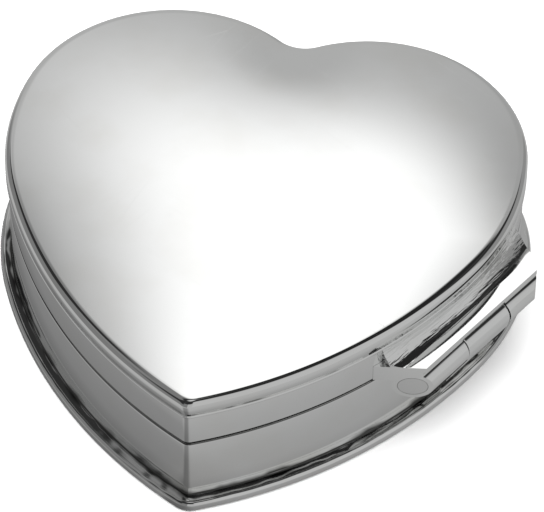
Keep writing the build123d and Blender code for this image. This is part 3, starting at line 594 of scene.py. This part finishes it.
BEVEL_MM = {"case_metal": 0.14, "hinge_pin_metal": 0.06, "plated_inside": 0.08, "bedplate_metal": 0.12}
FINE_BEVEL_MM = 0.035
UNBEVELLED = ("cylinder_pins", "mainspring", "clutch_spring", "worm")
SHARP_EDGE = 38  # degrees
WELD_MM = 0.002  # corners closer than this are joined


def smoothing_group():
    """Geometry nodes that join a CAD mesh's split corners and shade it smooth up to an angle."""
    group = bpy.data.node_groups.new("smooth_by_angle", "GeometryNodeTree")
    group.interface.new_socket("Geometry", in_out="INPUT", socket_type="NodeSocketGeometry")
    group.interface.new_socket("Geometry", in_out="OUTPUT", socket_type="NodeSocketGeometry")
    made = {}
    for kind in ("NodeGroupInput", "GeometryNodeMergeByDistance", "GeometryNodeRemoveAttribute",
                 "GeometryNodeInputMeshEdgeAngle", "FunctionNodeCompare", "NodeGroupOutput"):
        made[kind] = group.nodes.new(kind)
    made["GeometryNodeMergeByDistance"].inputs["Distance"].default_value = WELD_MM * MM
    made["GeometryNodeRemoveAttribute"].inputs["Name"].default_value = "custom_normal"
    faces = group.nodes.new("GeometryNodeSetShadeSmooth")
    faces.domain = "FACE"
    edges = group.nodes.new("GeometryNodeSetShadeSmooth")
    edges.domain = "EDGE"
    edges.inputs["Shade Smooth"].default_value = False
    compare = made["FunctionNodeCompare"]
    compare.data_type = "FLOAT"
    compare.operation = "GREATER_THAN"
    compare.inputs["B"].default_value = radians(SHARP_EDGE)
    link = group.links.new
    angle = made["GeometryNodeInputMeshEdgeAngle"].outputs["Unsigned Angle"]
    link(angle, compare.inputs["A"])
    link(compare.outputs["Result"], edges.inputs["Selection"])
    chain = [made["NodeGroupInput"], made["GeometryNodeMergeByDistance"],
             made["GeometryNodeRemoveAttribute"], faces, edges, made["NodeGroupOutput"]]
    for one, two in zip(chain, chain[1:]):
        link(one.outputs["Geometry"], two.inputs["Geometry"])
    return group


def dress_frame():
    """Smooth shading and its slot's finish on every CAD node, and rounded edges on all but the unbevelled
    ones.
    """
    slots = {row["node"]: row["material_slot"] for row in frame["record"]["subparts"]}
    group = smoothing_group()
    for name, node in frame["nodes"].items():
        finish_piece(node, FILED_PLATE if name == "lid_hinge_leaf" else MATERIALS[slots[name]])
        node.modifiers.new("join", "NODES").node_group = group
        if name in UNBEVELLED:
            continue
        bevel = node.modifiers.new("edges", "BEVEL")
        bevel.width = BEVEL_MM.get(slots[name], FINE_BEVEL_MM) * MM
        bevel.segments = 2
        bevel.limit_method = "ANGLE"
        bevel.angle_limit = radians(SHARP_EDGE)
        bevel.miter_outer = "MITER_ARC"
        node.modifiers.new("smooth", "NODES").node_group = group
        node.modifiers.new("flats", "WEIGHTED_NORMAL").keep_sharp = True


# ---------------------------------------------------------------------------------------------
# Velvet
# ---------------------------------------------------------------------------------------------

PIPING_R = 0.32
PIPING_SIDES = 8
PIPING_SHARE = 0.45  # the most that its radius takes of a shallow pad's depth
PIPING_SINK = 0.02  # how far the piping stays inside the depth of its pad
PAD_OUT = WALL_OUT - BASE_WALL_T - SLIP - LIP_T - 0.08  # where the velvet meets the closing lip
PAD_INSET = 0.15
PAD_RINGS = 26
PAD_CENTRE = (0.0, -16.0)
PAD_EDGE, PAD_CROWN = 0.35, 0.97  # height at the rim and in the middle, as shares of the depth
PAD_UNEVENNESS = 0.035
VELVET_SHARP = 60
LID_PAD_OUT = WALL_OUT - LID_WALL_T - 0.14
LID_PIPING_INSET = 0.26
STRAIGHT_SAMPLES = 90
CORNER_SMOOTHING = 30


def compartment_rim(inset):
    """The keepsake space in plan: the heart's point, closed by the divider, with round corners."""
    _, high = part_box("compartment_pad")
    cut = high.y / MM - inset
    loop = heart_loop(PAD_OUT - inset)
    inside = loop[loop[:, 1] < cut]
    split = np.argmax(np.linalg.norm(np.diff(inside, axis=0), axis=1)) + 1
    arc = np.concatenate([inside[split:], inside[:split]])
    start, end = arc[-1], arc[0]
    straight = start + (end - start) * np.linspace(0, 1, STRAIGHT_SAMPLES)[1:-1, None]
    rim = np.concatenate([arc, straight])
    for _ in range(CORNER_SMOOTHING):
        rim = (np.roll(rim, 1, 0) + rim * 2 + np.roll(rim, -1, 0)) / 4
    return rim


def pad_mesh(rim, centre, rings, flat_z, edge, crown, up):
    """A closed pad: flat on its backing, upright at its rim and crowned like a stuffed cover."""
    n = len(rim)
    points, top_faces, blown = film(rim, centre, rings)
    x, y = points[:, 0], points[:, 1]
    ease = 0.5 * np.sin(0.61 * x + 0.9) * np.sin(0.53 * y + 0.4) + 0.5 * np.sin(0.37 * y - 0.29 * x)
    height = edge + (crown - edge) * np.sqrt(blown) * (1 - PAD_UNEVENNESS + PAD_UNEVENNESS * ease)
    way = 1 if up else -1
    top = np.column_stack([points, flat_z + way * height])
    back = np.column_stack([points, np.full(len(points), flat_z)])
    count = len(points)
    faces = top_faces + [tuple(count + v for v in face[::-1]) for face in top_faces]
    faces += [(i, count + i, count + (i + 1) % n, (i + 1) % n) for i in range(n)]
    if not up:
        faces = [f[::-1] for f in faces]
    return np.concatenate([top, back]), faces


def piping(path, z, radius):
    """A thin covered cord along a closed path, as a tube round its points."""
    n = len(path)
    along = np.roll(path, -1, 0) - np.roll(path, 1, 0)
    along /= np.linalg.norm(along, axis=1)[:, None]
    across = np.column_stack([along[:, 1], -along[:, 0]])
    vertices = []
    for k in range(PIPING_SIDES):
        t = 2 * pi * k / PIPING_SIDES
        ring = path + across * cos(t) * radius
        vertices.append(np.column_stack([ring, np.full(n, z + sin(t) * radius)]))
    faces = []
    for k in range(PIPING_SIDES):
        faces += band(k * n, (k + 1) % PIPING_SIDES * n, n)
    return np.concatenate(vertices), faces


def velvet_pad(name, body, node, rim, piping_rim, centre, up):
    """A crowned pad with piping at its rim, in the space that its CAD plate holds."""
    z0, z1 = z_span(node)
    flat, proud = (z0, z1) if up else (z1, z0)
    way = 1 if up else -1
    depth = z1 - z0
    vertices, faces = pad_mesh(rim, centre, PAD_RINGS, flat, depth * PAD_EDGE, depth * PAD_CROWN, up)
    radius = min(PIPING_R, depth * PIPING_SHARE)
    tube, tube_faces = piping(piping_rim, proud - way * (radius + PIPING_SINK), radius)
    faces += [tuple(len(vertices) + v for v in f) for f in tube_faces]
    vertices = np.concatenate([vertices, tube]) * MM
    piece = new_piece(name, vertices, faces, body, "velvet", [node], VELVET_SHARP)


def linings():
    velvet_pad("keepsake_pad", "base", "compartment_pad", compartment_rim(PAD_INSET),
               compartment_rim(PAD_INSET + PIPING_R), PAD_CENTRE, True)
    velvet_pad("lid_velvet", "lid", "lid_lining", heart_loop(LID_PAD_OUT),
               heart_loop(LID_PAD_OUT - LID_PIPING_INSET), DOME_CENTRE, False)


# ---------------------------------------------------------------------------------------------
# Studio
# ---------------------------------------------------------------------------------------------

CAMERA_AIM = Vector((3.46, 1.04, 11.0)) * MM
CAMERA_DISTANCE = 620 * MM
CAMERA_AZIMUTH, CAMERA_ELEVATION, CAMERA_ROLL = 12.2, 47.53, 0.56  # degrees
CAMERA_LENS, CAMERA_SENSOR = 282.4, 36


def camera():
    data = bpy.data.cameras.new("camera")
    data.lens = CAMERA_LENS
    data.sensor_width = CAMERA_SENSOR
    data.clip_start = 0.05
    data.clip_end = 20
    cam = add_object("camera", data)
    a, e = radians(CAMERA_AZIMUTH), radians(CAMERA_ELEVATION)
    back = Vector((sin(a) * cos(e), -cos(a) * cos(e), sin(e)))
    cam.location = CAMERA_AIM + back * CAMERA_DISTANCE
    turn = (-back).to_track_quat("-Z", "Y").to_matrix() @ Matrix.Rotation(radians(CAMERA_ROLL), 3, "Z")
    cam.rotation_euler = turn.to_euler()
    bpy.context.scene.camera = cam


FLOOR_HALF = 3.0  # metres


def floor():
    """White paper. Polished metal sees the grey surround instead of it, as it does in a light tent."""
    mesh = bpy.data.meshes.new("floor")
    corners = [(x * FLOOR_HALF, y * FLOOR_HALF, 0.0) for x, y in ((-1, -1), (1, -1), (1, 1), (-1, 1))]
    mesh.from_pydata(corners, [], [(0, 1, 2, 3)])
    ground = add_object("floor", mesh)
    ground.visible_glossy = False
    white = (0.9, 0.9, 0.9)
    s = Shader("paper", white, roughness=0.8)
    s.color(s.mix(s.span(s.noise(6, 3), 0.3, 0.7, 0, 1), white, (0.88, 0.88, 0.88)))
    finish_piece(ground, s.material)


LAMP_SIZE, LAMP_POWER = 2.6, 60  # metres, watts
LAMP_PLACE = Vector((-0.15, -0.05, 1.3))


def overhead_light():
    """A wide soft light for the paper, the velvet and the plastics, which mirrors don't see."""
    data = bpy.data.lights.new("overhead", "AREA")
    data.shape = "DISK"
    data.size = LAMP_SIZE
    data.energy = LAMP_POWER
    lamp = add_object("overhead", data)
    lamp.location = LAMP_PLACE
    lamp.rotation_euler = (-LAMP_PLACE).to_track_quat("-Z", "Y").to_euler()
    lamp.visible_glossy = False


# The tent around the object, as panels: name, azimuth range, elevation range, the soft edge in
# degrees of each, and brightness. Azimuth is clockwise from +Y. Later panels cover earlier ones.
TENT = (
    ("left_low", (-200, -46), (-5, 46), (18, 8), 0.22),
    ("left_high", (-200, -27), (46, 95), (6, 8), 0.22),
    ("near_left", (-152, -112), (28, 95), (10, 10), 0.03),
    ("left_line", (-80, -42), (36, 60), (5, 5), 0.03),
    ("right_low", (-2, 26), (-5, 51), (8, 3), 0.40),
    ("right_gap", (1.5, 200), (51.5, 95), (3, 3), 0.02),
    ("right_mid", (26, 76), (-5, 40), (6, 4), 0.30),
    ("right_dark", (26, 76), (36, 53), (6, 6), 0.03),
    ("right_side", (79, 148), (-5, 62), (8, 8), 0.56),
    ("near", (150, 200), (46, 95), (10, 8), 0.03),
    ("near_rear", (-200, -150), (46, 95), (10, 8), 0.03),
    ("overhead", (-200, 200), (72, 95), (1, 6), 0.03),
    ("softbox", (-20.8, 0.3), (41.5, 68), (14, 11), 1.30),
    ("zenith", (-200, 200), (83, 120), (1, 9), 0.72),
)
FAR_LEVEL, GROUND_LEVEL = 0.49, 0.50  # brightness above and below the horizon
HORIZON_SOFT = 6.0
# Below the lean's top elevation, the softbox's right edge moves left by this share of a degree
SOFTBOX_LEAN, SOFTBOX_LEAN_TOP = 0.9, 50
SOFTBOX_RIGHT_SOFT = 7


def tent():
    world = bpy.data.worlds.new("tent")
    bpy.context.scene.world = world
    world.use_nodes = True
    tree = world.node_tree
    background = tree.nodes["Background"]

    def node(kind, inputs, **settings):
        made = tree.nodes.new(kind)
        for key, value in settings.items():
            setattr(made, key, value)
        for key, value in inputs.items():
            if isinstance(value, bpy.types.NodeSocket):
                tree.links.new(value, made.inputs[key])
            else:
                made.inputs[key].default_value = value
        return made.outputs[0]

    def maths(operation, a, b=0.0):
        return node("ShaderNodeMath", {0: a, 1: b}, operation=operation)

    def ramp(value, middle, soft, rising):
        low, high = (0.0, 1.0) if rising else (1.0, 0.0)
        ends = {"Value": value, "From Min": middle - soft / 2, "From Max": middle + soft / 2,
                "To Min": low, "To Max": high}
        return node("ShaderNodeMapRange", ends, interpolation_type="SMOOTHSTEP")

    heading = tree.nodes.new("ShaderNodeTexCoord").outputs["Generated"]
    parts = tree.nodes.new("ShaderNodeSeparateXYZ")
    tree.links.new(heading, parts.inputs[0])
    azimuth = maths("MULTIPLY", maths("ARCTAN2", parts.outputs["X"], parts.outputs["Y"]), degrees(1))
    elevation = maths("MULTIPLY", maths("ARCSINE", parts.outputs["Z"]), degrees(1))
    level = node("ShaderNodeMapRange", {"Value": elevation, "From Min": -HORIZON_SOFT,
                                        "From Max": HORIZON_SOFT, "To Min": GROUND_LEVEL,
                                        "To Max": FAR_LEVEL})
    below = maths("MAXIMUM", maths("SUBTRACT", SOFTBOX_LEAN_TOP, elevation))
    leaning = maths("ADD", azimuth, maths("MULTIPLY", below, SOFTBOX_LEAN))
    for name, (a0, a1), (e0, e1), (soft_a, soft_e), brightness in TENT:
        if name == "softbox":
            right = ramp(leaning, a1, SOFTBOX_RIGHT_SOFT, False)
        else:
            right = ramp(azimuth, a1, soft_a, False)
        inside = maths("MULTIPLY", ramp(azimuth, a0, soft_a, True), right)
        inside = maths("MULTIPLY", inside, ramp(elevation, e0, soft_e, True))
        inside = maths("MULTIPLY", inside, ramp(elevation, e1, soft_e, False))
        change = maths("MULTIPLY", inside, maths("SUBTRACT", brightness, level))
        level = maths("ADD", level, change)
    tree.links.new(level, background.inputs["Strength"])
    background.inputs["Color"].default_value = (1, 1, 1, 1)


# How bright the ground looks in the metal: mm from the outline, and levels to its left and right
GROUND_GLOW = (
    (1.0, 0.16, 0.32),
    (4.0, 0.24, 0.38),
    (9.0, 0.28, 0.41),
    (13.0, 0.42, 0.45),
    (20.0, 0.48, 0.48),
    (70.0, 0.50, 0.50),
)
SIDE_BLEND = 20  # mm over which the left levels turn into the right ones
CARD_Z = 0.02
TIP_SHADE = 0.45  # how much darker the wedge in front of the point is
TIP_SHADE_FROM, TIP_SHADE_TO = 8, 26  # degrees either side of its middle where it starts to fade and ends
TIP_SHADE_ORIGIN = 6.0  # mm inside the outline


def tip_shade(points):
    """A darker wedge of ground in front of the point, which gives the dark smear on that corner in
    the photo. Its fixed bearing is where the corner mirrors the ground to the photo's camera."""
    away = points - heart_loop(-TIP_SHADE_ORIGIN)[0]
    bearing = np.degrees(np.arctan2(away[:, 0], away[:, 1])) % 360
    off = np.abs((bearing - (180 + CAMERA_AZIMUTH)) % 360)
    off = np.minimum(off, 360 - off)
    t = np.clip((off - TIP_SHADE_FROM) / (TIP_SHADE_TO - TIP_SHADE_FROM), 0, 1)
    return 1 - TIP_SHADE * (1 - t * t * (3 - 2 * t))


def ground_glow():
    """Light of the strength in the mesh's glow attribute."""
    material = bpy.data.materials.new("ground_glow")
    material.use_nodes = True
    tree = material.node_tree
    tree.nodes.clear()
    value = tree.nodes.new("ShaderNodeAttribute")
    value.attribute_name = "glow"
    emission = tree.nodes.new("ShaderNodeEmission")
    tree.links.new(value.outputs["Fac"], emission.inputs["Strength"])
    output = tree.nodes.new("ShaderNodeOutputMaterial")
    tree.links.new(emission.outputs[0], output.inputs["Surface"])
    return material


def ground_card():
    """Grey ground round the object that only reflections see, darker where the case shades it."""
    rings = [ring_at(offset, CARD_Z) for offset, _, _ in GROUND_GLOW]
    n = len(rings[0])
    faces = []
    for j in range(len(rings) - 1):
        a, b = j * n, (j + 1) * n
        faces += [(a + i, b + i, b + (i + 1) % n, a + (i + 1) % n) for i in range(n)]
    points = np.concatenate(rings)
    mesh = bpy.data.meshes.new("ground_card")
    mesh.from_pydata([tuple(v) for v in points * MM], [], faces)
    right = np.clip(0.5 + points[:, 0] / SIDE_BLEND, 0, 1)
    levels = np.repeat([(left_level, right_level) for _, left_level, right_level in GROUND_GLOW], n, axis=0)
    level = levels[:, 0] * (1 - right) + levels[:, 1] * right
    glow = mesh.attributes.new("glow", "FLOAT", "POINT")
    glow.data.foreach_set("value", level * tip_shade(points[:, :2]))
    card = add_object("ground_card", mesh)
    mesh.materials.append(ground_glow())
    card.visible_camera = card.visible_diffuse = card.visible_shadow = card.visible_transmission = False


dress_frame()
case_walls()
foot()
lid_cap()
linings()
camera()
floor()
overhead_light()
tent()
ground_card()
bpy.context.scene.view_settings.view_transform = "Standard"
bpy.context.view_layer.update()
